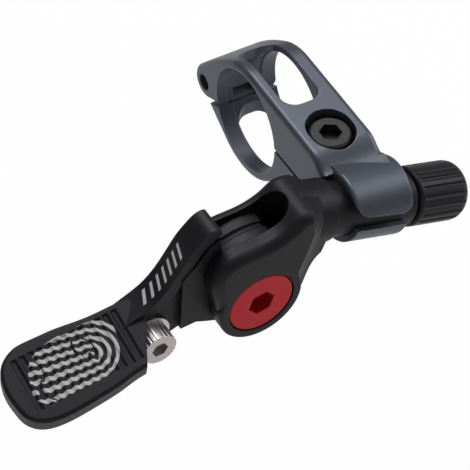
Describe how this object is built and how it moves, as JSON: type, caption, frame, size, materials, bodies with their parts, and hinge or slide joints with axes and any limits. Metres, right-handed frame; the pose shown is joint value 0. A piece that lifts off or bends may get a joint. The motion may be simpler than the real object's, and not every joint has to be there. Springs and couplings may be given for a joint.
{
  "type": "dropper post remote lever",
  "caption": "Handlebar remote lever for a cable dropper seatpost: hinged bar clamp, swivelling fork body, ridged thumb lever on bearings, cable clamp screw and barrel adjuster.",
  "frame": {"origin": "centre of the handlebar bore, halfway along the clamp", "axes": "+X along the handlebar bore toward the barrel adjuster, +Z out of the clamp bolt, -Y from the bar toward the lever"},
  "size_m": [0.1022, 0.0631, 0.0293],
  "materials": {
    "clamp_anodised": "satin grey-blue anodised",
    "pin_steel": "dark satin steel",
    "bolt_black": "black oxide steel",
    "body_black": "satin black anodised",
    "pivot_red": "satin red anodised",
    "lever_black": "satin black anodised with silver print",
    "screw_steel": "bright steel",
    "washer_steel": "bright steel",
    "knob_black": "satin black anodised",
    "stem_black": "black anodised",
    "ring_rubber": "matt",
    "bearing_steel": "ground",
    "seal_rubber": "matt",
    "shim_steel": "plain"
  },
  "bodies": {
    "lower_clamp": {"clamp_lower": "clamp_anodised", "hinge_pin": "pin_steel"},
    "upper_clamp": {"clamp_upper": "clamp_anodised"},
    "bolt": {"clamp_bolt": "bolt_black"},
    "fork": {"body": "body_black", "pivot_bolt": "pivot_red", "front_bearing_inner_ring": "bearing_steel", "rear_bearing_inner_ring": "bearing_steel", "front_shim": "shim_steel", "rear_shim": "shim_steel"},
    "thumb_lever": {"lever": "lever_black", "front_bearing_outer_ring": "bearing_steel", "rear_bearing_outer_ring": "bearing_steel", "front_bearing_balls": "bearing_steel", "rear_bearing_balls": "bearing_steel", "front_bearing_seal": "seal_rubber", "rear_bearing_seal": "seal_rubber", "cable_screw": "screw_steel", "cable_washer": "washer_steel"},
    "adjuster_ring": {"adjuster_o_ring": "ring_rubber"},
    "adjuster": {"adjuster_stem": "stem_black", "adjuster_knob": "knob_black"}
  },
  "joints": [
    {"name": "clamp_bolt_slide", "type": "slide", "parent": "lower_clamp", "child": "bolt", "axis": [0, 0, 1], "range_m": [0, 0.002]},
    {"name": "clamp_hinge", "type": "hinge", "parent": "lower_clamp", "child": "upper_clamp", "pos_m": [0, 0.01601, -0.00305], "axis": [-1, 0, 0], "range_deg": [0, 2.87]},
    {"name": "body_swivel", "type": "hinge", "parent": "lower_clamp", "child": "fork", "pos_m": [0, -0.031, 0.00175], "axis": [0.9537, 0, -0.3007], "range_deg": [-20, 20]},
    {"name": "lever_pivot", "type": "hinge", "parent": "fork", "child": "thumb_lever", "pos_m": [-0.0258, -0.031, -0.0059], "axis": [0, -1, 0], "range_deg": [0, 35], "stiffness_Nm_per_rad": 0.4, "springref_deg": -9.74},
    {"name": "adjuster_slide", "type": "slide", "parent": "fork", "child": "adjuster_ring", "axis": [0.9537, 0, -0.3007], "range_m": [0, 0.005]},
    {"name": "knob_turn", "type": "hinge", "parent": "adjuster_ring", "child": "adjuster", "pos_m": [0, -0.031, 0.00175], "axis": [0.9537, 0, -0.3007], "range_deg": [0, 2250]}
  ],
  "couplings": [
    {"joint": "clamp_hinge", "follows": "clamp_bolt_slide", "rad_per_m": 25},
    {"joint": "knob_turn", "follows": "adjuster_slide", "rad_per_m": 7854}
  ]
}
